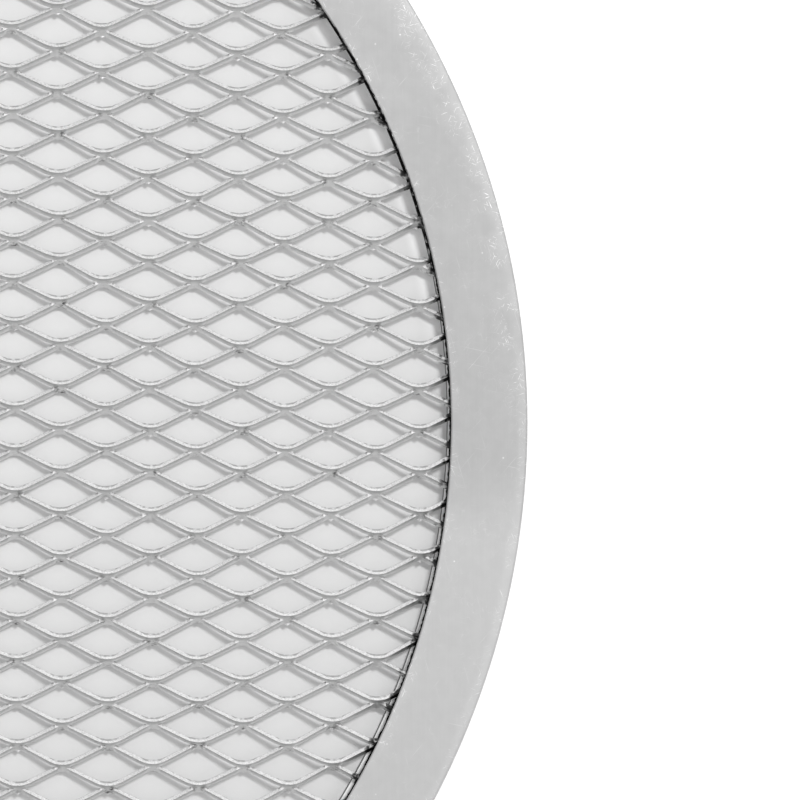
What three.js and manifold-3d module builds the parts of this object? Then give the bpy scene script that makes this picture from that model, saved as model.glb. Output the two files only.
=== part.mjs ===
// Pizza screen: a disc of expanded aluminium mesh held in a folded aluminium rim.
// Millimetres, +Z up. The origin is on the screen's axis, in the plane of its underside.

import * as THREE from "three";
import { mergeVertices } from "three/addons/utils/BufferGeometryUtils.js";
import Module from "manifold-3d";

// Rim
const OUTER_DIAMETER = 228.6;
const UPPER_FLANGE_WIDTH = 10.9;
const LOWER_FLANGE_WIDTH = 11.1;
const RIM_SHEET = 0.7;
const FOLD_RADIUS = 0.7;
const RIM_SEGMENTS = 96;
const FOLD_STEPS = 3;

// Mesh: the long and the short way of a diamond, from bond to bond. The short way leans a little.
const DIAMOND_LENGTH = 12.75;
const DIAMOND_WIDTH = 5.96;
const DIAMOND_LEAN_DEGREES = 0.82;
const STRAND_WIDTH = 1.3;
const STRAND_THICKNESS = 0.9;
const MESH_TURN_DEGREES = -0.31;
const FIRST_BOND_X = 3.18;
const FIRST_BOND_Y = 2.07;

// Fit of the mesh in the rim
const MESH_INSERTION = 4.0;
const FIT_CLEARANCE = 0.1;

// Sizes that follow from those above
const OUTER_RADIUS = OUTER_DIAMETER / 2;
const UPPER_INNER_RADIUS = OUTER_RADIUS - UPPER_FLANGE_WIDTH;
const LOWER_INNER_RADIUS = OUTER_RADIUS - LOWER_FLANGE_WIDTH;
const MESH_RADIUS = UPPER_INNER_RADIUS + MESH_INSERTION;
const LOWER_STRAND_Z = RIM_SHEET + FIT_CLEARANCE;
const UPPER_STRAND_Z = LOWER_STRAND_Z + STRAND_THICKNESS;
const MESH_TOP_Z = UPPER_STRAND_Z + STRAND_THICKNESS;
const RIM_HEIGHT = MESH_TOP_Z + FIT_CLEARANCE + RIM_SHEET;

const wasm = await Module();
wasm.setup();

// Turns a closed three.js geometry into a solid that can be joined to others.
function toSolid(geometry) {
  const plain = geometry.clone();
  plain.deleteAttribute("normal");
  plain.deleteAttribute("uv");
  const merged = mergeVertices(plain);
  const mesh = new wasm.Mesh({
    numProp: 3,
    vertProperties: new Float32Array(merged.attributes.position.array),
    triVerts: new Uint32Array(merged.index.array),
  });
  return new wasm.Manifold(mesh);
}

// Turns a joined solid back into a three.js geometry.
function toGeometry(solid) {
  const mesh = solid.getMesh();
  const geometry = new THREE.BufferGeometry();
  geometry.setAttribute("position", new THREE.BufferAttribute(mesh.vertProperties, 3));
  geometry.setIndex(new THREE.BufferAttribute(mesh.triVerts, 1));
  geometry.computeVertexNormals();
  return geometry;
}

// Adds a quarter turn about (centreX, centreY) to a list of profile points.
function addQuarterTurn(points, centreX, centreY, radius, startAngle) {
  for (let step = 0; step <= FOLD_STEPS; step += 1) {
    const angle = startAngle + (step / FOLD_STEPS) * (Math.PI / 2);
    points.push(new THREE.Vector2(
      centreX + radius * Math.cos(angle),
      centreY + radius * Math.sin(angle),
    ));
  }
}

// The rim: one strip of sheet folded to a channel that opens inwards.
function makeRimGeometry() {
  const wallRadius = OUTER_RADIUS - RIM_SHEET;
  const foldCentre = OUTER_RADIUS - FOLD_RADIUS;
  const profile = [new THREE.Vector2(LOWER_INNER_RADIUS, 0)];
  addQuarterTurn(profile, foldCentre, FOLD_RADIUS, FOLD_RADIUS, -Math.PI / 2);
  addQuarterTurn(profile, foldCentre, RIM_HEIGHT - FOLD_RADIUS, FOLD_RADIUS, 0);
  profile.push(new THREE.Vector2(UPPER_INNER_RADIUS, RIM_HEIGHT));
  profile.push(new THREE.Vector2(UPPER_INNER_RADIUS, RIM_HEIGHT - RIM_SHEET));
  profile.push(new THREE.Vector2(wallRadius, RIM_HEIGHT - RIM_SHEET));
  profile.push(new THREE.Vector2(wallRadius, RIM_SHEET));
  profile.push(new THREE.Vector2(LOWER_INNER_RADIUS, RIM_SHEET));
  profile.push(profile[0].clone());
  const geometry = new THREE.LatheGeometry(profile, RIM_SEGMENTS);
  geometry.rotateX(Math.PI / 2);
  return geometry;
}

// A straight bar along X. Its underside and top lie exactly on the given levels, so that layers meet.
function makeBar(length, width, bottomZ, topZ) {
  const bar = new THREE.BoxGeometry(length, width, 1);
  const position = bar.attributes.position;
  for (let index = 0; index < position.count; index += 1) {
    position.setZ(index, position.getZ(index) > 0 ? topZ : bottomZ);
  }
  return bar;
}

// All strands that slope one way: straight bars, side by side, each as long as the round sheet.
// The slope is +1 for bars that rise towards +X, and -1 for bars that fall.
function makeStrands(slope, bottomZ, topZ) {
  const lean = THREE.MathUtils.degToRad(DIAMOND_LEAN_DEGREES);
  const alongX = DIAMOND_LENGTH - slope * DIAMOND_WIDTH * Math.sin(lean);
  const alongY = slope * DIAMOND_WIDTH * Math.cos(lean);
  const angle = Math.atan2(alongY, alongX);
  const spacing = DIAMOND_LENGTH * Math.abs(Math.sin(angle));
  const bondOffset = FIRST_BOND_Y * Math.cos(angle) - FIRST_BOND_X * Math.sin(angle);
  const reach = MESH_RADIUS - spacing;
  const first = Math.ceil((-reach - bondOffset) / spacing);
  const last = Math.floor((reach - bondOffset) / spacing);
  const strands = [];
  for (let number = first; number <= last; number += 1) {
    const offset = bondOffset + number * spacing;
    const farEdge = Math.abs(offset) + STRAND_WIDTH / 2;
    const length = 2 * Math.sqrt(MESH_RADIUS ** 2 - farEdge ** 2);
    const bar = makeBar(length, STRAND_WIDTH, bottomZ, topZ);
    bar.translate(0, offset, 0);
    bar.rotateZ(angle);
    strands.push(toSolid(bar));
  }
  return strands;
}

// The mesh: two layers of strands, fused wherever they cross.
function makeMeshGeometry() {
  const lower = makeStrands(-1, LOWER_STRAND_Z, UPPER_STRAND_Z);
  const upper = makeStrands(1, UPPER_STRAND_Z, MESH_TOP_Z);
  const joined = wasm.Manifold.union([...lower, ...upper]);
  return toGeometry(joined);
}

function makePart(name, geometry, colour, roughness) {
  const material = new THREE.MeshStandardMaterial({ color: colour, roughness, metalness: 1 });
  const part = new THREE.Mesh(geometry, material);
  part.name = name;
  return part;
}

const screen = new THREE.Group();
screen.name = "pizza_screen";

const rim = makePart("rim", makeRimGeometry(), 0xc6c7c8, 0.4);
screen.add(rim);

const mesh = makePart("expanded_mesh", makeMeshGeometry(), 0xb4b5b6, 0.45);
mesh.rotation.z = THREE.MathUtils.degToRad(MESH_TURN_DEGREES);
screen.add(mesh);

export default screen;
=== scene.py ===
"""Pizza screen: a disc of expanded aluminium mesh, clamped in a rim of folded aluminium sheet."""

import math
import random

import bmesh
import bpy
from mathutils import Matrix, Vector, noise


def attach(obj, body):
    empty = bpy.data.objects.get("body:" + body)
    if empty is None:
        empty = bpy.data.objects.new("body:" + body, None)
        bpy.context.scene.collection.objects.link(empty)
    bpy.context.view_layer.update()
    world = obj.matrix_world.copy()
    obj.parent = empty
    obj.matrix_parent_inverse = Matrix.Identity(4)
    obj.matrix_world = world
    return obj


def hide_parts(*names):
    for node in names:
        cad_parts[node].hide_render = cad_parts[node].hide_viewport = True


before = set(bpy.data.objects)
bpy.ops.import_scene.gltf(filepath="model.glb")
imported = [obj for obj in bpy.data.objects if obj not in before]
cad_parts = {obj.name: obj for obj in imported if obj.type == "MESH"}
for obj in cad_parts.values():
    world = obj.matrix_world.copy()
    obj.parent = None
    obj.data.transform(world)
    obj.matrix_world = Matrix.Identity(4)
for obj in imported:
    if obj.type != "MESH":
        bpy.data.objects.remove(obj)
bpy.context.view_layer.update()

MM = 0.001

# Rim: a strip folded to a channel that opens inwards
OUTER_RADIUS = 114.3 * MM
UPPER_FLANGE_WIDTH = 11.0 * MM
LOWER_FLANGE_WIDTH = 11.0 * MM
RIM_SHEET = 0.7 * MM
RIM_HEIGHT = 3.4 * MM
FOLD_RADIUS = 0.45 * MM
SHOULDER_WIDTH = 0.9 * MM
SHOULDER_DROP = 0.09 * MM
EDGE_RADIUS = 0.2 * MM
RIM_SEGMENTS = 288
FOLD_STEPS = 6
EDGE_STEPS = 2
FLANGE_STEPS = 6
FLANGE_WAVE = 0.03 * MM
FLANGE_WAVE_LENGTH = 14.0 * MM
RIM_CORNER_DEGREES = 50

# Lips of the rim's flanges. The lower lip is off centre, so that it shows on one side.
LIP_WIDTH = 0.45 * MM
LIP_SHIFT = 0.65 * MM
LIP_SHIFT_ANGLE = math.radians(-60.0)
GAP_DEPTH = 1.6 * MM

# Painted shade at each point of the lower lip's rounded edge, from its top on; 1 is as dark as the
# channel
LIP_EDGE_DARKNESS = (-0.25, 0.75, 1.0)

# Mesh: a sheet that was slit and stretched, so that its strands stand tilted
LONG_WAY = 12.75 * MM
SHORT_WAY = 5.96 * MM
SHORT_WAY_LEAN = math.radians(0.82)
MESH_TURN = math.radians(-0.31)
FIRST_BOND_X = 3.18 * MM
FIRST_BOND_Y = 2.07 * MM
SEAM_SHIFT_Y = 0.365 * MM
SEAM_Z = 1.66 * MM
FREE_LIFT = 0.2 * MM
SAG = 0.75 * MM
SQUEEZE = 0.13
SQUEEZE_WIDTH = 4.0 * MM
MESH_REACH = 111.3 * MM
OPEN_REACH = 104.0 * MM
MESH_CORNER_DEGREES = 40
MESH_SEED = 11

# Strands and bonds of the mesh
STRAND_WIDTH = 1.05 * MM
STRAND_THICKNESS = 0.68 * MM
STRAND_STATIONS = (1.85 * MM, 4.8 * MM)
LOW_BOND_TILT = math.radians(58.0)
HIGH_BOND_TILT = math.radians(47.0)
RIDGE_BEVEL = 0.03 * MM
FAR_BEVEL = 0.08 * MM
ROLLED_EDGE = 0.18 * MM
ROLLED_DEPTH = 0.09 * MM
BURR_BEVEL = 0.07 * MM
BURR_LENGTH = 0.26 * MM
BURR_LIFT = 0.34 * MM
BURR_MOST = 1.2
SLIT_TIP = 1.1 * MM
TIP_JITTER = 0.12 * MM
BOND_SHOULDER = 0.42 * MM
BOND_JITTER = 0.06 * MM
BOND_JITTER_Z = 0.015 * MM
LOWER_FLAT = 0.1 * MM
LOWER_BEND = 1.75 * MM
UPPER_FLAT = 0.3 * MM
UPPER_BEND = 0.17 * MM

# How far from the ridge, from 0 to 1, the painted shade on the sheet and the torn line take a strand's
# far edge and a bond's seam to be
STRAND_TEAR = 0.6
SEAM_DEPTH = 0.8

# The higher the power, the fewer bonds have much residue and painted shade
RESIDUE_AND_SHADE_POWER = 2
SEAM_RESIDUE_AND_SHADE_POWER = 3

# Camera: above the disc, aimed at the part of it that shows
CAMERA_PLACE = Vector((0.05, 0.0, 0.46))
CAMERA_TARGET = Vector((0.09596, 0.00322, 0.003))
CAMERA_LENS_MM = 145.18
CAMERA_SENSOR_MM = 36.0

# Greys of the finishes, as reflectance
RIM_TONE = 0.472
# Grey of bright marks, and of the painted light on the rim's lower lip
MARK_AND_LIT_LIP_TONE = 0.95
# Black of the painted shade in the rim's channel, along its gap and on its far side's lips
PAINTED_SHADE_TONE = 0.015
# Black of the mesh's residue spots, and of painted shade at bond edges, seams and beside the rim
RESIDUE_AND_SHADE_TONE = 0.05
TORN_TONE = 0.45
# The sheet face runs from painted shade at the ridge to painted light far from it
SHADED_SHEET_TONE_AT_RIDGE = 0.42
LIT_SHEET_TONE_FAR = 0.76
CUT_TONE_LOW = 0.62
CUT_TONE_HIGH = 0.8

# Noise: how many finer layers it has, and the values between which most of it lies
LINE_DETAIL = 1.0
USUAL_DETAIL = 2.0
CLOUD_DETAIL = 3.0
BLOTCH_DETAIL = 4.0
MOST_OF_NOISE = (0.3, 0.7)

# Tone of the rim. Each swing is how far a noise moves the grey. The near side, at low Y, is lighter.
CLOUD_SIZE = 7.0 * MM
CLOUD_SWING = 0.006
BLOTCH_SIZE = 1.6 * MM
BLOTCH_TURN = 25
BLOTCH_RANGE = (0.35, 0.65)
BLOTCH_SWING = 0.006
GRAIN_WIDTH = 0.22 * MM
GRAIN_LENGTH = 7.0 * MM
GRAIN_SWING = 0.004
RAGGED = 0.5 * MM
RAGGED_RANGE = (0.2, 0.8)
LIGHTER_NEAR_START = -19.0 * MM
LIGHTER_NEAR_END = -4.0 * MM
LIGHTER_NEAR_GAIN = 0.075
HAZE_WIDTH = 2.2 * MM
HAZE_GAIN = 0.025
RIM_ROUGHNESS = (0.67, 0.71)
RIM_BUMP = 0.01 * MM
GRAIN_HEIGHT = 0.3
BUMP_STRENGTH = 0.5

# Marks on the rim. Patches and clusters are noises: a range says at which of their values a mark appears.
PATCH_SIZE = 5.0 * MM
PATCH_TURN = 40
CLUSTER_SIZE = 4.0 * MM
CLUSTER_TURN = 70
CURL_SIZE = 1.8 * MM
CURL_TURN = 15
CURL_CLUSTERS = (0.5, 0.6)
CURL_SHARE = 0.1
HAIR_SHARE = 0.012
SCRATCH_LENGTH = 9.0 * MM
SCRATCH_WIDTH = 0.14 * MM
SCRATCH_DIRECTIONS = (12, 74, 131)
SCRATCH_RANGE = (0.72, 0.8)
SCRATCH_PATCHES = (0.45, 0.65)
SCRATCH_SHARE = 0.3
SCUFF_LENGTH = 1.7 * MM
SCUFF_WIDTH = 0.11 * MM
SCUFF_DIRECTIONS = (20, 65, 115, 160)
SCUFF_RANGE = (0.66, 0.78)
SCUFF_CLUSTERS = (0.36, 0.52)
SCUFF_REACH = 4.6 * MM
RUBBED_START = -4.0 * MM
RUBBED_END = 14.0 * MM
NEAR_SIDE_SCUFFS = 0.1
FLECK_REACH = 2.0 * MM
# Flecks by the fold are scuffs, and partly painted glints along it
FOLD_FLECKS_AND_GLINTS = 0.6
INNER_FLECKS = 0.9
ZONE_HAZE = 0.05
DOT_SPACING = 2.6 * MM
DOT_RADIUS = 0.2 * MM
DOT_PATCHES = (0.42, 0.55)
DOT_SHARE = 0.7

# Painted shade: black in the channel and, from the first to the second Y below, more and more on the
# rim's lips
LIP_SHADE_START = 8.0 * MM
LIP_SHADE_END = 46.0 * MM
LIP_SHADE_NEAR = -0.3
LIP_SHADE_FAR = 0.4
LIP_SHADE_RANGE = (0.4, 0.6)
SHADE_RAG_SIZE = 0.8 * MM
SHADE_RAG_REACH = 0.08 * MM
GAP_START = -0.05 * MM
GAP_BLEND = 0.15 * MM
# Painted shade on the strands beside the rim, where the flange shades them
RIM_SHADE_START = 102.2 * MM
RIM_SHADE_END = 103.2 * MM
RIM_SHADE_RAGGED = 0.6 * MM

# Finish of the mesh
MOTTLE_SIZES = (0.45 * MM, 0.3 * MM, 0.3 * MM)
MOTTLE_DETAIL = 3.0
ROLLING_SIZES = (1.6 * MM, 0.12 * MM, 0.12 * MM)
ROLLING_SHARE = 0.25
TORN_SIZES = (0.3 * MM, 0.12 * MM, 0.12 * MM)
TORN_TURN = 20
TORN_RANGE = (0.3, 0.6)
TEAR_RANGE = (0.5, 0.7)
DASH_SIZE = 0.7 * MM
DASH_RANGE = (0.36, 0.56)
DASH_LEAST = 0.3
SPOT_RANGE = (0.36, 0.6)
MESH_ROUGHNESS = (0.42, 0.56)
CUT_ROUGHNESS_GAIN = 0.24
MESH_BUMP = 0.04 * MM

# Light
KEY_DIRECTION = Vector((0.366, 0.416, 0.832))
KEY_DISTANCE = 1.2
KEY_SIZE = 0.2
KEY_POWER = 6.7
WORLD_STRENGTH = 0.8
WORLD_SLOPE = Vector((0.04, 0.12, 0.0))

# Floor: white round the screen; pale grey under it as painted shade, a little lighter to the far side as
# painted light; and painted light beside the rim on the far side, which lightens the rim's shadow there
FLOOR_HALF_SIZE = 4.0
FLOOR_LEVEL = -0.02 * MM
FLOOR_ROUGHNESS = 0.9
FLOOR_COLOUR = 0.98
SHADED_FLOOR_UNDER_SCREEN = 0.7
LIT_FLOOR_FAR_SIDE = 0.73
FLOOR_BLEND = 60.0 * MM
PAINTED_LIGHT_BY_RIM_START = 100.1 * MM
PAINTED_LIGHT_BY_RIM_END = 102.3 * MM
PAINTED_LIGHT_SIDE_START = -5.0 * MM
PAINTED_LIGHT_SIDE_END = 30.0 * MM

# Sizes of the rim that follow from those above
INNER_EDGE = OUTER_RADIUS - UPPER_FLANGE_WIDTH
LOWER_INNER_EDGE = OUTER_RADIUS - LOWER_FLANGE_WIDTH
SHIFTED_REACH = LOWER_INNER_EDGE + GAP_DEPTH / 2
OFF_FLOOR = (RIM_SHEET / 3, RIM_SHEET * 2 / 3)
LIP_TOP = (RIM_SHEET, RIM_SHEET * 2)
LIP_END = (INNER_EDGE + 2 * MM, INNER_EDGE + 3 * MM)
GAP_EDGE = (INNER_EDGE + GAP_START, INNER_EDGE + GAP_START + GAP_BLEND)
SHADED_EDGE = (INNER_EDGE - GAP_BLEND / 3, INNER_EDGE + GAP_BLEND / 3)

# Sizes of the mesh that follow from those above
HALF_LENGTH = LONG_WAY / 2
ROW_STEP = SHORT_WAY / 2
HALF_WIDTH = STRAND_WIDTH / 2
HALF_THICKNESS = STRAND_THICKNESS / 2
SEAM_TILT = (LOW_BOND_TILT + HIGH_BOND_TILT) / 2
STRAND_RISE = ROW_STEP - HALF_WIDTH * (math.cos(LOW_BOND_TILT) + math.cos(HIGH_BOND_TILT))

# Where a side of a strand has points: how far each is above the middle of the sheet's thickness, from the
# top face to the bottom face, and how far the bevels set it in. The ridge, where the upper side meets the
# top face, is sharp; shearing rolled over the top edge of the lower side.
UPPER_SIDE = (
    (HALF_THICKNESS, RIDGE_BEVEL),
    (HALF_THICKNESS - RIDGE_BEVEL, 0.0),
    (FAR_BEVEL - HALF_THICKNESS, 0.0),
    (-HALF_THICKNESS, FAR_BEVEL),
)
LOWER_SIDE = (
    (HALF_THICKNESS, ROLLED_EDGE),
    (HALF_THICKNESS - ROLLED_DEPTH, 0.0),
    (BURR_BEVEL - HALF_THICKNESS, 0.0),
    (-HALF_THICKNESS, BURR_BEVEL),
)
SIDE_POINTS = len(UPPER_SIDE)
FAR_POINTS = slice(2, SIDE_POINTS)
ROLLED_POINTS = slice(1, 3)

# Which faces round a strand, and above and below a bond, are cut faces, in the order they are made
CUT_IN_TUBE = (0, 1, 2, 5)
CUT_ABOVE_BOND = (1, 2, 3)
CUT_BELOW_BOND = (2,)
CUT_IN_SLIT_END = (0, 1, 2)


def make_object(name, data):
    """A new object with this mesh, camera or lamp, in the scene."""
    new_object = bpy.data.objects.new(name, data)
    bpy.context.collection.objects.link(new_object)
    return new_object


def finish_mesh(name, builder, corner_degrees):
    """Turns a bmesh into an object with smooth faces, and corners that stay crisp."""
    bmesh.ops.recalc_face_normals(builder, faces=builder.faces)
    for face in builder.faces:
        face.smooth = True
    mesh = bpy.data.meshes.new(name)
    builder.to_mesh(mesh)
    builder.free()
    mesh.set_sharp_from_angle(angle=math.radians(corner_degrees))
    new_object = make_object(name, mesh)
    weighted = new_object.modifiers.new("flat_faces", "WEIGHTED_NORMAL")
    weighted.keep_sharp = True
    return new_object


# Rim

def arc(centre_r, centre_z, radius, start_degrees, end_degrees, steps):
    """Points (r, z) on a circular arc, both ends included."""
    points = []
    for step in range(steps + 1):
        angle = math.radians(start_degrees + (end_degrees - start_degrees) * step / steps)
        points.append((centre_r + radius * math.cos(angle), centre_z + radius * math.sin(angle)))
    return points


def rim_outside():
    """The section's outside as points (r, z): underside, folds, shoulder, upper flange and upper lip."""
    fold_centre = OUTER_RADIUS - FOLD_RADIUS
    top_fold = RIM_HEIGHT - SHOULDER_DROP - FOLD_RADIUS
    ceiling = RIM_HEIGHT - RIM_SHEET
    edge = EDGE_RADIUS
    points = arc(LOWER_INNER_EDGE + edge, edge, edge, 180, 270, EDGE_STEPS)
    points += arc(fold_centre, FOLD_RADIUS, FOLD_RADIUS, -90, 0, FOLD_STEPS)
    points += arc(fold_centre, top_fold, FOLD_RADIUS, 0, 90, FOLD_STEPS)
    flange_start = fold_centre - SHOULDER_WIDTH
    flange_span = flange_start - INNER_EDGE - edge
    for step in range(FLANGE_STEPS):
        points.append((flange_start - flange_span * step / FLANGE_STEPS, RIM_HEIGHT))
    points += arc(INNER_EDGE + edge, RIM_HEIGHT - edge, edge, 90, 180, EDGE_STEPS)
    points += arc(INNER_EDGE + edge, ceiling + edge, edge, 180, 270, EDGE_STEPS)
    return points


def rim_profile():
    """The rim's section as a closed loop of (r, z, how much painted shade it gets), from the underside
    on.
    """
    wall = OUTER_RADIUS - RIM_SHEET
    ceiling = RIM_HEIGHT - RIM_SHEET
    edge = EDGE_RADIUS
    channel = [(INNER_EDGE + LIP_WIDTH, ceiling), (wall, ceiling)]
    channel += [(wall, RIM_SHEET), (INNER_EDGE + GAP_DEPTH, RIM_SHEET)]
    section = [(radius, height, 0.0) for radius, height in rim_outside()]
    section += [(radius, height, 1.0) for radius, height in channel]
    section.append((LOWER_INNER_EDGE + LIP_WIDTH, RIM_SHEET, 0.0))
    lower_edge = arc(LOWER_INNER_EDGE + edge, RIM_SHEET - edge, edge, 90, 180, EDGE_STEPS)
    for (radius, height), darkness in zip(lower_edge, LIP_EDGE_DARKNESS):
        section.append((radius, height, darkness))
    return section


def rim_place(angle, radius, height):
    """Where a point of the section goes, at an angle round the axis: lower lip off centre, top wavy."""
    if height < RIM_HEIGHT / 2 and radius < SHIFTED_REACH:
        radius -= LIP_SHIFT * math.cos(angle - LIP_SHIFT_ANGLE)
    place = Vector((radius * math.cos(angle), radius * math.sin(angle), height))
    if height > RIM_HEIGHT / 2:
        wave = (1.0 + noise.noise(place / FLANGE_WAVE_LENGTH)) / 2
        inward = min(1.0, (OUTER_RADIUS - radius) / UPPER_FLANGE_WIDTH)
        place.z -= FLANGE_WAVE * wave * inward
    return place


def make_rim():
    """The rim, turned from its section."""
    profile = rim_profile()
    builder = bmesh.new()
    # How much painted shade each point of the rim gets
    painted_shade_layer = builder.verts.layers.float.new("inside")
    rings = []
    for segment in range(RIM_SEGMENTS):
        angle = 2 * math.pi * segment / RIM_SEGMENTS
        ring = []
        for radius, height, inside in profile:
            vertex = builder.verts.new(rim_place(angle, radius, height))
            vertex[painted_shade_layer] = inside
            ring.append(vertex)
        rings.append(ring)
    count = len(profile)
    for segment in range(RIM_SEGMENTS):
        here = rings[segment]
        there = rings[(segment + 1) % RIM_SEGMENTS]
        for index in range(count):
            after = (index + 1) % count
            builder.faces.new((here[index], there[index], there[after], here[after]))
    return finish_mesh("screen_rim", builder, RIM_CORNER_DEGREES)


# Expanded mesh
#
# Bonds stand in rows. Ribbon j runs in zigzag between row j, where its bonds are low, and row j + 1.
# A strand is the half period of a ribbon between a low bond and a high bond.

def strand_rise(distance):
    """How far a strand's middle line has risen at this distance along X from its low bond."""
    start = LOWER_FLAT
    end = HALF_LENGTH - UPPER_FLAT
    slope = STRAND_RISE / (end - start - (LOWER_BEND + UPPER_BEND) / 2)
    if distance <= start:
        return 0.0
    if distance < start + LOWER_BEND:
        return slope * (distance - start) ** 2 / (2 * LOWER_BEND)
    if distance <= end - UPPER_BEND:
        return slope * (distance - start - LOWER_BEND / 2)
    if distance < end:
        return STRAND_RISE - slope * (end - distance) ** 2 / (2 * UPPER_BEND)
    return STRAND_RISE


def section_place(rise, across, through):
    """(y, z) of a point of a strand's section, from the seam of the strand's low bond.

    Across runs along the tilted sheet, from the middle of the strand, and through runs up its thickness.
    """
    share = rise / STRAND_RISE
    tilt = LOW_BOND_TILT + (HIGH_BOND_TILT - LOW_BOND_TILT) * share
    low_z = HALF_WIDTH * math.sin(LOW_BOND_TILT)
    high_z = -HALF_WIDTH * math.sin(HIGH_BOND_TILT)
    middle_y = HALF_WIDTH * math.cos(LOW_BOND_TILT) + rise
    middle_z = low_z + (high_z - low_z) * share
    y = middle_y + across * math.cos(tilt) - through * math.sin(tilt)
    z = middle_z + across * math.sin(tilt) + through * math.cos(tilt)
    return y, z


def smooth_step(value):
    """Goes from 0 to 1 with no kink at either end."""
    return value * value * (3 - 2 * value)


def upper_bond(bond, side):
    """The bond in the next row at the end of the strand that leaves this bond upwards to one side."""
    row, place = bond
    return (row + 1, place + (side + row % 2 * 2 - 1) // 2)


def bond_centre(bond):
    """Where a bond would be in an even mesh, before its short way leans."""
    row, place = bond
    shift = HALF_LENGTH * (row % 2)
    return Vector((FIRST_BOND_X + shift + place * LONG_WAY, FIRST_BOND_Y + row * ROW_STEP, 0.0))


def leaning(place):
    """A place in the mesh with its short way leaning, as the sheet was stretched."""
    return Vector((place.x - (place.y - FIRST_BOND_Y) * math.tan(SHORT_WAY_LEAN), place.y, place.z))


def bond_radius(bond):
    """How far a bond is from the screen's axis."""
    return leaning(bond_centre(bond)).length


def ring_sides(ring):
    """The points on the upper side and on the lower side of a strand's section, each from the top on."""
    return ring[:SIDE_POINTS], ring[SIDE_POINTS:][::-1]


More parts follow.
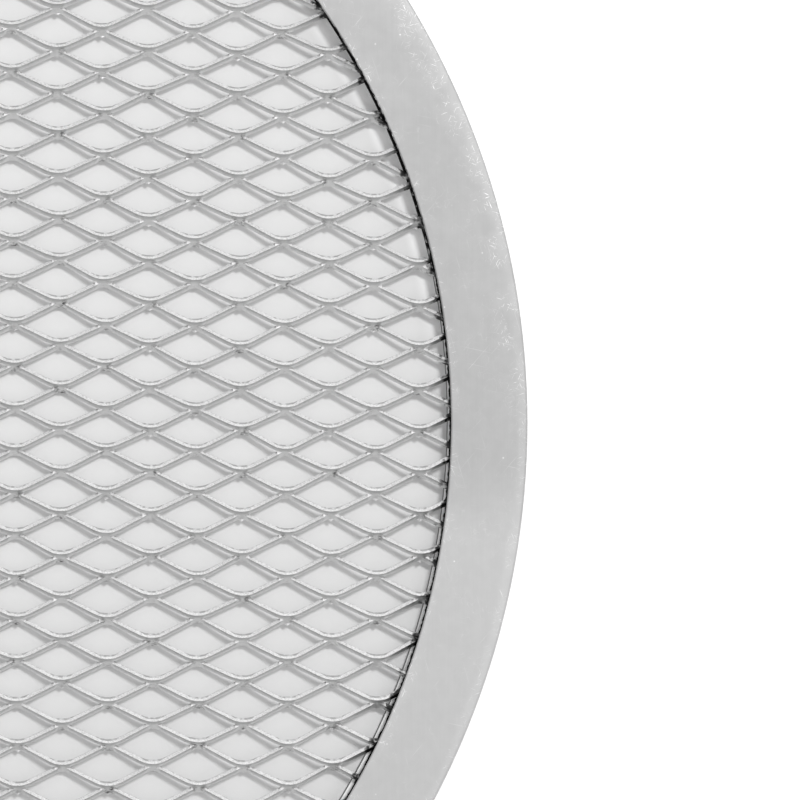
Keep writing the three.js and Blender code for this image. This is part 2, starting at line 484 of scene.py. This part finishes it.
class ExpandedMesh:
    """Builds the mesh from its bonds and the strands between them."""

    def __init__(self):
        self.builder = bmesh.new()
        self.cut_layer = self.builder.faces.layers.float.new("cut")
        self.depth_layer = self.builder.verts.layers.float.new("cut_depth")
        self.residue_and_shade_layer = self.builder.verts.layers.float.new("residue_and_shade")
        self.turn = Matrix.Rotation(MESH_TURN, 3, "Z")
        self.chance = random.Random(MESH_SEED)
        self.jitter = {}
        self.upper_rings = {}
        self.lower_rings = {}
        self.bonds = self.choose_bonds()
        self.strands = self.choose_strands()

    def choose_bonds(self):
        """The bonds (row, place in row) inside the reach, each a little out of place."""
        bonds = []
        rows = int(MESH_REACH / ROW_STEP) + 2
        places = int(MESH_REACH / LONG_WAY) + 2
        for row in range(-rows, rows + 1):
            for place in range(-places, places + 1):
                bond = (row, place)
                if bond_radius(bond) < MESH_REACH:
                    bonds.append(bond)
                    shift_x = self.chance.gauss(0, BOND_JITTER)
                    shift_y = self.chance.gauss(0, BOND_JITTER)
                    shift_z = self.chance.gauss(0, BOND_JITTER_Z)
                    self.jitter[bond] = Vector((shift_x, shift_y, shift_z))
        return bonds

    def choose_strands(self):
        """The strands (low bond, side) that have a bond at each end, and don't lie all under the rim."""
        kept = set(self.bonds)
        strands = []
        for bond in self.bonds:
            for side in (-1, 1):
                end_bond = upper_bond(bond, side)
                nearest = min(bond_radius(bond), bond_radius(end_bond))
                if end_bond in kept and nearest < OPEN_REACH:
                    strands.append((bond, side))
        return strands

    def vertex(self, x, y, z):
        """A new vertex, from the mesh's own frame. The sheet sags, and the rim presses its edge flat."""
        place = self.turn @ leaning(Vector((x, y + SEAM_SHIFT_Y, z)))
        radius = place.xy.length
        squeezed = smooth_step(min(1.0, max(0.0, 1.0 - (OPEN_REACH - radius) / SQUEEZE_WIDTH)))
        place.z *= 1.0 - SQUEEZE * squeezed
        place.z += SEAM_Z + FREE_LIFT * (1.0 - squeezed)
        place.z -= SAG * max(0.0, 1.0 - (radius / OPEN_REACH) ** 2)
        return self.builder.verts.new(place)

    def side_row(self, origin, shift, rise, which):
        """The points on a strand's upper (+1) or lower (-1) side, at a shift along X, from the top on."""
        row = []
        for level, inset in UPPER_SIDE if which > 0 else LOWER_SIDE:
            y, z = section_place(rise, which * (HALF_WIDTH - inset), level)
            vertex = self.vertex(origin.x + shift, origin.y + y, origin.z + z)
            if which < 0 or level < 0:
                vertex[self.depth_layer] = 1.0
            row.append(vertex)
        return row

    def ring(self, origin, shift, rise):
        """A closed section of a strand: its upper side, then its lower side from the bottom on."""
        return self.side_row(origin, shift, rise, 1) + self.side_row(origin, shift, rise, -1)[::-1]

    def add_face(self, corners, is_cut):
        """A new face, which was sheared or is the sheet's own."""
        face = self.builder.faces.new(corners)
        face[self.cut_layer] = 1.0 if is_cut else 0.0

    def strip(self, first, second, cut_faces):
        """Faces between two rows of points. Those with a number in cut_faces were sheared."""
        for index in range(len(first) - 1):
            corners = (first[index], second[index], second[index + 1], first[index + 1])
            self.add_face(corners, index in cut_faces)

    def tube(self, first, second):
        """Faces between two closed rings of points."""
        self.strip(first + first[:1], second + second[:1], CUT_IN_TUBE)

    def bond_column(self, origin, shift):
        """Points round a bond at a shift along X: those above the seam, and those below it."""
        low_origin = origin - Vector((0.0, ROW_STEP, 0.0))
        distance = abs(shift)
        upper = self.side_row(origin, shift, strand_rise(distance), 1)
        lower = self.side_row(low_origin, shift, strand_rise(HALF_LENGTH - distance), -1)
        seam = []
        for level in (HALF_THICKNESS, -HALF_THICKNESS):
            y = -level * math.sin(SEAM_TILT)
            z = level * math.cos(SEAM_TILT)
            vertex = self.vertex(origin.x + shift, origin.y + y, origin.z + z)
            vertex[self.depth_layer] = SEAM_DEPTH
            seam.append(vertex)
        return [seam[0], *upper, seam[1]], [seam[0], *lower, seam[1]]

    def add_residue_and_shade(self, vertices, amount):
        """Leaves residue and painted shade at these points, where there isn't more already."""
        for vertex in vertices:
            vertex[self.residue_and_shade_layer] = max(amount, vertex[self.residue_and_shade_layer])

    def add_bond(self, bond):
        """A bond with its burr, from slit end to slit end."""
        origin = bond_centre(bond) + self.jitter[bond]
        middle = self.bond_column(origin, 0.0)
        residue_and_shade = self.chance.random() ** RESIDUE_AND_SHADE_POWER
        burr = self.chance.uniform(0.0, BURR_MOST)
        edge_point, burr_point = middle[1][ROLLED_POINTS]
        burr_point.co += burr * Vector((0.0, -BURR_LENGTH, BURR_LIFT))
        # Residue, and painted shade along the bond's lower edge and on its seam towards the slit ends
        self.add_residue_and_shade([edge_point], residue_and_shade)
        for side in (-1, 1):
            upper, lower = self.bond_column(origin, side * BOND_SHOULDER)
            self.add_residue_and_shade(lower[ROLLED_POINTS], residue_and_shade * self.chance.random())
            self.add_residue_and_shade(upper[:1], self.chance.random() ** SEAM_RESIDUE_AND_SHADE_POWER)
            self.strip(middle[0], upper, CUT_ABOVE_BOND)
            self.strip(middle[1], lower, CUT_BELOW_BOND)
            self.add_slit_end(bond, origin, side, upper, lower)

    def add_slit_end(self, bond, origin, side, upper, lower):
        """The end of a bond to one side, and the rings in which its two strands there start."""
        low_origin = origin - Vector((0.0, ROW_STEP, 0.0))
        distance = SLIT_TIP + self.chance.uniform(-TIP_JITTER, TIP_JITTER)
        above = self.ring(origin, side * distance, strand_rise(distance))
        below = self.ring(low_origin, side * distance, strand_rise(HALF_LENGTH - distance))
        above_upper, above_lower = ring_sides(above)
        below_upper, below_lower = ring_sides(below)
        self.strip(upper, [above_lower[0], *above_upper, above_lower[-1]], CUT_ABOVE_BOND)
        self.strip(lower, [below_upper[0], *below_lower, below_upper[-1]], CUT_BELOW_BOND)
        self.strip(above_lower, below_upper, CUT_IN_SLIT_END)
        self.add_face((upper[0], above_lower[0], below_upper[0]), True)
        self.add_face((upper[-1], below_upper[-1], above_lower[-1]), False)
        self.upper_rings[bond, side] = above
        self.lower_rings[bond, side] = below

    def add_strand(self, bond, side):
        """The strand that leaves a bond upwards to one side."""
        end_bond = upper_bond(bond, side)
        ring = self.upper_rings.pop((bond, side))
        for distance in STRAND_STATIONS:
            blend = smooth_step(distance / HALF_LENGTH)
            origin = bond_centre(bond) + self.jitter[bond].lerp(self.jitter[end_bond], blend)
            next_ring = self.ring(origin, side * distance, strand_rise(distance))
            for vertex in next_ring[FAR_POINTS]:
                vertex[self.depth_layer] = STRAND_TEAR
            self.tube(ring, next_ring)
            ring = next_ring
        self.tube(ring, self.lower_rings.pop((end_bond, -side)))

    def build(self):
        """All bonds and strands. The ends that no strand goes on from are closed with a flat face."""
        used = {bond for bond, side in self.strands}
        used |= {upper_bond(bond, side) for bond, side in self.strands}
        for bond in self.bonds:
            if bond in used:
                self.add_bond(bond)
        for bond, side in self.strands:
            self.add_strand(bond, side)
        for ring in [*self.upper_rings.values(), *self.lower_rings.values()]:
            self.add_face(ring, False)
        return finish_mesh("screen_mesh", self.builder, MESH_CORNER_DEGREES)


# Materials

class Graph:
    """A material's nodes. Each method adds one step and returns the socket that holds its result."""

    def __init__(self, name):
        self.material = bpy.data.materials.new(name)
        self.material.use_nodes = True
        self.nodes = self.material.node_tree.nodes
        self.links = self.material.node_tree.links
        self.shader = self.nodes["Principled BSDF"]
        self.place = self.nodes.new("ShaderNodeTexCoord").outputs["Object"]
        squares = [self.calculate("POWER", self.part(axis), 2.0) for axis in "XY"]
        self.radius = self.calculate("SQRT", self.add(*squares))

    def put(self, socket, value):
        """Links a socket to another, or sets it to a number, a vector or a colour."""
        if isinstance(value, bpy.types.NodeSocket):
            self.links.new(value, socket)
        else:
            socket.default_value = value

    def set(self, name, value):
        """Gives one of the shader's inputs its value."""
        self.put(self.shader.inputs[name], value)

    def attribute(self, name):
        """A number that the object's mesh carries."""
        node = self.nodes.new("ShaderNodeAttribute")
        node.attribute_name = name
        return node.outputs["Fac"]

    def part(self, axis):
        """One coordinate of the place on the object, in metres."""
        node = self.nodes.new("ShaderNodeSeparateXYZ")
        self.links.new(self.place, node.inputs["Vector"])
        return node.outputs[axis]

    def calculate(self, operation, first, second=0.0):
        """One step of arithmetic."""
        node = self.nodes.new("ShaderNodeMath")
        node.operation = operation
        self.put(node.inputs[0], first)
        self.put(node.inputs[1], second)
        return node.outputs["Value"]

    def add(self, first, second):
        """The sum of two values."""
        return self.calculate("ADD", first, second)

    def times(self, first, second):
        """The product of two values."""
        return self.calculate("MULTIPLY", first, second)

    def most(self, first, second):
        """The larger of two values."""
        return self.calculate("MAXIMUM", first, second)

    def ramp(self, value, low, high, to_low=0.0, to_high=1.0):
        """Goes from to_low to to_high as the value goes from low to high, and no further."""
        node = self.nodes.new("ShaderNodeMapRange")
        node.interpolation_type = "SMOOTHSTEP"
        limits = {"From Min": low, "From Max": high, "To Min": to_low, "To Max": to_high}
        for name, number in limits.items():
            node.inputs[name].default_value = number
        self.put(node.inputs["Value"], value)
        return node.outputs["Result"]

    def mix(self, factor, first, second):
        """A colour between two greys."""
        node = self.nodes.new("ShaderNodeMix")
        node.data_type = "RGBA"
        self.put(node.inputs["Factor"], factor)
        for name, value in (("A", first), ("B", second)):
            plain = not isinstance(value, bpy.types.NodeSocket)
            self.put(node.inputs[name], (value, value, value, 1.0) if plain else value)
        return node.outputs["Result"]

    def stretched(self, sizes, degrees=0.0):
        """The place turned about Z, then divided by sizes, so that one unit is one feature."""
        turn = self.nodes.new("ShaderNodeVectorRotate")
        turn.rotation_type = "Z_AXIS"
        turn.inputs["Angle"].default_value = math.radians(degrees)
        self.links.new(self.place, turn.inputs["Vector"])
        divide = self.nodes.new("ShaderNodeVectorMath")
        divide.operation = "DIVIDE"
        divide.inputs[1].default_value = sizes
        self.links.new(turn.outputs["Vector"], divide.inputs[0])
        return divide.outputs["Vector"]

    def noise(self, sizes, degrees=0.0, detail=USUAL_DETAIL):
        """Noise about 0.5, with features of these sizes along the turned X, Y and Z."""
        node = self.nodes.new("ShaderNodeTexNoise")
        node.inputs["Scale"].default_value = 1.0
        node.inputs["Detail"].default_value = detail
        self.put(node.inputs["Vector"], self.stretched(sizes, degrees))
        return node.outputs["Fac"]

    def even_noise(self, size, degrees=0.0, detail=USUAL_DETAIL):
        """Noise about 0.5, with features of the same size along X, Y and Z."""
        return self.noise((size, size, size), degrees, detail)

    def specks(self, spacing, radius):
        """Round dots, 1 in the middle and 0 outside their radius, one in each cell of this spacing."""
        node = self.nodes.new("ShaderNodeTexVoronoi")
        node.inputs["Scale"].default_value = 1.0
        self.put(node.inputs["Vector"], self.stretched((spacing, spacing, spacing)))
        return self.ramp(node.outputs["Distance"], 0.0, radius / spacing, 1.0, 0.0)

    def contour(self, value, width):
        """1 on the line where a value passes 0.5, and 0 where it is further from it than the width."""
        away = self.calculate("ABSOLUTE", self.calculate("SUBTRACT", value, 0.5))
        return self.ramp(away, 0.0, width, 1.0, 0.0)

    def streaks(self, length, width, directions, values):
        """Straight marks in several directions, where a noise goes through this range of values."""
        found = 0.0
        for degrees in directions:
            lines = self.noise((length, width, length), degrees, LINE_DETAIL)
            found = self.most(self.ramp(lines, *values), found)
        return found

    def bump(self, height, depth):
        """Makes the surface look raised where the height is large; a height of 1 is one depth."""
        node = self.nodes.new("ShaderNodeBump")
        node.inputs["Distance"].default_value = depth
        node.inputs["Strength"].default_value = BUMP_STRENGTH
        self.put(node.inputs["Height"], height)
        self.set("Normal", node.outputs["Normal"])


class RimFinish(Graph):
    """Dull rolled sheet: scratched, scuffed in clusters near its outer edge, with painted glints by the
    fold, painted light on the lower lip, and painted shade in the channel and on the far side's lips.
    """

    def __init__(self):
        super().__init__("rim_aluminium")
        self.north = self.part("Y")
        self.level = self.part("Z")
        self.off_floor = self.ramp(self.level, *OFF_FLOOR)
        self.clouds = self.even_noise(CLOUD_SIZE, detail=CLOUD_DETAIL)
        self.grain = self.noise((GRAIN_WIDTH, GRAIN_LENGTH, GRAIN_LENGTH))
        self.patches = self.even_noise(PATCH_SIZE, PATCH_TURN)
        self.clusters = self.even_noise(CLUSTER_SIZE, CLUSTER_TURN)
        self.ragged = self.add(self.radius, self.ramp(self.clouds, *RAGGED_RANGE, -RAGGED, RAGGED))

    def tone(self):
        """The sheet's grey: clouds, grain, blotches, a lighter near side, a hazy band at the edge."""
        blotches = self.even_noise(BLOTCH_SIZE, BLOTCH_TURN, BLOTCH_DETAIL)
        band = self.ramp(self.ragged, OUTER_RADIUS - HAZE_WIDTH, OUTER_RADIUS - HAZE_WIDTH / 3)
        tone = self.add(self.ramp(self.clouds, *MOST_OF_NOISE, -CLOUD_SWING, CLOUD_SWING), RIM_TONE)
        tone = self.add(tone, self.ramp(self.grain, *MOST_OF_NOISE, -GRAIN_SWING, GRAIN_SWING))
        tone = self.add(tone, self.ramp(blotches, *BLOTCH_RANGE, -BLOTCH_SWING, BLOTCH_SWING))
        tone = self.add(tone, self.ramp(self.north, LIGHTER_NEAR_START, LIGHTER_NEAR_END, LIGHTER_NEAR_GAIN, 0.0))
        return self.add(tone, self.times(band, HAZE_GAIN))

    def scuffed_zone(self):
        """Where scuffs lie: near the outer edge, most on the far side, by the fold, where they are partly
        painted glints, and at the inner edge.
        """
        rubbed = self.ramp(self.north, RUBBED_START, RUBBED_END)
        zone = self.ramp(self.ragged, OUTER_RADIUS - SCUFF_REACH, OUTER_RADIUS - SCUFF_REACH / 2)
        zone = self.times(zone, self.ramp(rubbed, 0.0, 1.0, NEAR_SIDE_SCUFFS, 1.0))
        # By the fold: scuffs, and painted glints along the fold
        fold_reach = (OUTER_RADIUS - FLECK_REACH, OUTER_RADIUS - FLECK_REACH / 2)
        zone = self.most(zone, self.ramp(self.ragged, *fold_reach, 0.0, FOLD_FLECKS_AND_GLINTS))
        inner_reach = (INNER_EDGE, INNER_EDGE + FLECK_REACH)
        zone = self.most(zone, self.ramp(self.ragged, *inner_reach, INNER_FLECKS, 0.0))
        return self.times(zone, self.ramp(self.clusters, *SCUFF_CLUSTERS))

    def marks(self, zone):
        """Hairlines that curl, long straight scratches, short scuffs in their zone, and dots."""
        curls = self.contour(self.even_noise(CURL_SIZE, CURL_TURN), HAIR_SHARE)
        curls = self.times(curls, self.ramp(self.clusters, *CURL_CLUSTERS))
        scratches = self.streaks(SCRATCH_LENGTH, SCRATCH_WIDTH, SCRATCH_DIRECTIONS, SCRATCH_RANGE)
        scratches = self.times(scratches, self.ramp(self.patches, *SCRATCH_PATCHES))
        scuffs = self.streaks(SCUFF_LENGTH, SCUFF_WIDTH, SCUFF_DIRECTIONS, SCUFF_RANGE)
        dots = self.times(self.specks(DOT_SPACING, DOT_RADIUS), self.ramp(self.patches, *DOT_PATCHES))
        marks = self.most(self.times(scratches, SCRATCH_SHARE), self.times(scuffs, zone))
        marks = self.most(marks, self.times(curls, CURL_SHARE))
        return self.most(marks, self.times(dots, DOT_SHARE))

    def lower_lip(self):
        """1 on the lower flange's lip, which is painted light, and 0 elsewhere."""
        lip = self.times(self.off_floor, self.ramp(self.level, *LIP_TOP, 1.0, 0.0))
        return self.times(lip, self.ramp(self.radius, *LIP_END, 1.0, 0.0))

    def painted_shade(self, lip):
        """Painted shade: black in the channel, along the gap, and on the far side's lip and inner edge.
        """
        shade_rag = self.even_noise(SHADE_RAG_SIZE)
        shade_radius = self.add(self.radius, self.ramp(shade_rag, *MOST_OF_NOISE, -SHADE_RAG_REACH, SHADE_RAG_REACH))
        gap = self.ramp(shade_radius, *GAP_EDGE)
        edge = self.ramp(shade_radius, *SHADED_EDGE, 1.0, 0.0)
        edge = self.times(edge, self.ramp(self.north, LIP_SHADE_START, LIP_SHADE_END))
        edge = self.times(edge, self.off_floor)
        lip_shade = self.add(self.ramp(self.north, LIP_SHADE_START, LIP_SHADE_END, LIP_SHADE_NEAR, LIP_SHADE_FAR), shade_rag)
        lip_shade = self.times(lip, self.most(self.ramp(lip_shade, *LIP_SHADE_RANGE), gap))
        return self.most(self.attribute("inside"), self.most(lip_shade, edge))

    def make(self):
        """The finished material."""
        zone = self.scuffed_zone()
        marks = self.marks(zone)
        haze = self.times(zone, ZONE_HAZE)
        metal = self.mix(self.most(marks, haze), self.tone(), MARK_AND_LIT_LIP_TONE)
        # Painted light: the lower lip gets a bright grey, though the upper flange shades it
        lip = self.lower_lip()
        metal = self.mix(lip, metal, MARK_AND_LIT_LIP_TONE)
        # Painted shade over the metal: black in the channel, along the gap and on the far side's lips
        self.set("Base Color", self.mix(self.painted_shade(lip), metal, PAINTED_SHADE_TONE))
        self.set("Roughness", self.ramp(self.clouds, *MOST_OF_NOISE, *RIM_ROUGHNESS))
        self.set("Metallic", 1.0)
        self.bump(self.calculate("SUBTRACT", self.times(self.grain, GRAIN_HEIGHT), marks), RIM_BUMP)
        return self.material


class MeshFinish(Graph):
    """Mill-finish sheet with bright cut faces, torn along their far edge, painted shade near the ridge,
    residue and painted shade at the bonds, and painted shade beside the rim.
    """

    def __init__(self):
        super().__init__("mesh_aluminium")
        self.depth = self.attribute("cut_depth")
        self.cut = self.attribute("cut")
        self.mottle = self.noise(MOTTLE_SIZES, detail=MOTTLE_DETAIL)
        self.rolling = self.noise(ROLLING_SIZES)
        self.torn = self.noise(TORN_SIZES, TORN_TURN)

    def sheet(self):
        """The sheet's face: painted shade at the ridge, turning to painted light away from it, with fine
        streaks from rolling.
        """
        sheet = self.mix(self.ramp(self.depth, 0.0, 1.0), SHADED_SHEET_TONE_AT_RIDGE, LIT_SHEET_TONE_FAR)
        return self.mix(self.ramp(self.rolling, *MOST_OF_NOISE, 0.0, ROLLING_SHARE), sheet, MARK_AND_LIT_LIP_TONE)

    def torn_line(self):
        """The broken line along a cut face's far edge, where it was torn."""
        dashes = self.even_noise(DASH_SIZE, detail=LINE_DETAIL)
        tear = self.ramp(self.depth, *TEAR_RANGE)
        return self.times(tear, self.ramp(dashes, *DASH_RANGE, DASH_LEAST, 1.0))

    def residue_and_shade(self):
        """Residue spots with painted shade at the bonds, and painted shade beside the rim."""
        spots = self.times(self.attribute("residue_and_shade"), self.ramp(self.mottle, *SPOT_RANGE))
        shade_rag = self.even_noise(SHADE_RAG_SIZE)
        shade_radius = self.add(self.radius, self.ramp(shade_rag, *MOST_OF_NOISE, -RIM_SHADE_RAGGED, RIM_SHADE_RAGGED))
        return self.most(spots, self.ramp(shade_radius, RIM_SHADE_START, RIM_SHADE_END))

    def make(self):
        """The finished material."""
        line = self.torn_line()
        sheared = self.mix(self.ramp(self.torn, *TORN_RANGE), CUT_TONE_LOW, CUT_TONE_HIGH)
        sheared = self.mix(line, sheared, TORN_TONE)
        metal = self.mix(self.cut, self.sheet(), sheared)
        # Residue and painted shade darken the metal
        self.set("Base Color", self.mix(self.residue_and_shade(), metal, RESIDUE_AND_SHADE_TONE))
        rough = self.ramp(self.mottle, *MOST_OF_NOISE, *MESH_ROUGHNESS)
        self.set("Roughness", self.add(rough, self.times(self.cut, CUT_ROUGHNESS_GAIN)))
        self.set("Metallic", 1.0)
        smooth = self.add(self.mottle, self.rolling)
        self.bump(self.add(smooth, self.calculate("SUBTRACT", self.torn, line)), MESH_BUMP)
        return self.material


def make_floor_material():
    """White round the screen, pale grey where it lies as painted shade, lighter to the far side and
    beside the rim there as painted light, with the change hidden under the rim.
    """
    graph = Graph("pale_floor")
    north = graph.part("Y")
    # Painted shade under the screen, lighter towards the far side as painted light
    under = graph.mix(graph.ramp(north, -FLOOR_BLEND, FLOOR_BLEND), SHADED_FLOOR_UNDER_SCREEN, LIT_FLOOR_FAR_SIDE)
    # Painted light beside the rim on the far side, which lightens the rim's shadow
    by_rim = graph.ramp(graph.radius, PAINTED_LIGHT_BY_RIM_START, PAINTED_LIGHT_BY_RIM_END)
    by_rim = graph.times(by_rim, graph.ramp(north, PAINTED_LIGHT_SIDE_START, PAINTED_LIGHT_SIDE_END))
    under = graph.mix(by_rim, under, FLOOR_COLOUR)
    around = graph.ramp(graph.radius, OUTER_RADIUS - UPPER_FLANGE_WIDTH / 2, OUTER_RADIUS)
    graph.set("Base Color", graph.mix(around, under, FLOOR_COLOUR))
    graph.set("Roughness", FLOOR_ROUGHNESS)
    return graph.material


# Stage

def make_floor():
    """The floor that the screen lies on."""
    builder = bmesh.new()
    bmesh.ops.create_grid(builder, x_segments=1, y_segments=1, size=FLOOR_HALF_SIZE)
    mesh = bpy.data.meshes.new("floor")
    builder.to_mesh(mesh)
    builder.free()
    floor = make_object("floor", mesh)
    floor.location.z = FLOOR_LEVEL
    floor.data.materials.append(make_floor_material())


def aimed_rotation(place, target):
    """A rotation for a camera or a lamp: it looks along its -Z to the target, with +Y up in the view."""
    forward = (target - place).normalized()
    right = forward.cross(Vector((0.0, 1.0, 0.0))).normalized()
    up = right.cross(forward)
    return Matrix((right, up, -forward)).transposed().to_euler()


def make_camera():
    """The camera, at the photograph's viewing angle."""
    data = bpy.data.cameras.new("camera")
    data.lens = CAMERA_LENS_MM
    data.sensor_width = CAMERA_SENSOR_MM
    camera = make_object("camera", data)
    camera.location = CAMERA_PLACE
    camera.rotation_euler = aimed_rotation(CAMERA_PLACE, CAMERA_TARGET)
    bpy.context.scene.camera = camera


def make_key_light():
    """A square lamp on the far right, which casts the soft shadows."""
    data = bpy.data.lights.new("key", "AREA")
    data.shape = "SQUARE"
    data.size = KEY_SIZE
    data.energy = KEY_POWER
    key = make_object("key", data)
    key.location = KEY_DIRECTION * KEY_DISTANCE
    key.rotation_euler = aimed_rotation(key.location, Vector((0.0, 0.0, 0.0)))


def make_world():
    """White light from all round, a little stronger towards the lamp's side."""
    world = bpy.data.worlds.new("studio")
    world.use_nodes = True
    nodes = world.node_tree.nodes
    links = world.node_tree.links
    background = nodes["Background"]
    background.inputs["Color"].default_value = (1.0, 1.0, 1.0, 1.0)
    coordinates = nodes.new("ShaderNodeTexCoord")
    slope = nodes.new("ShaderNodeVectorMath")
    slope.operation = "DOT_PRODUCT"
    slope.inputs[1].default_value = WORLD_SLOPE
    links.new(coordinates.outputs["Generated"], slope.inputs[0])
    strength = nodes.new("ShaderNodeMath")
    strength.operation = "ADD"
    strength.inputs[1].default_value = WORLD_STRENGTH
    links.new(slope.outputs["Value"], strength.inputs[0])
    links.new(strength.outputs["Value"], background.inputs["Strength"])
    bpy.context.scene.world = world


def place_piece(piece, node, material):
    """Gives a piece its material, and puts it in the place of its CAD node."""
    piece.data.materials.append(material)
    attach(piece, "root")
    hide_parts(node)


bpy.context.scene.view_settings.view_transform = "Standard"
make_camera()
make_key_light()
make_world()
make_floor()
place_piece(make_rim(), "rim", RimFinish().make())
place_piece(ExpandedMesh().build(), "expanded_mesh", MeshFinish().make())
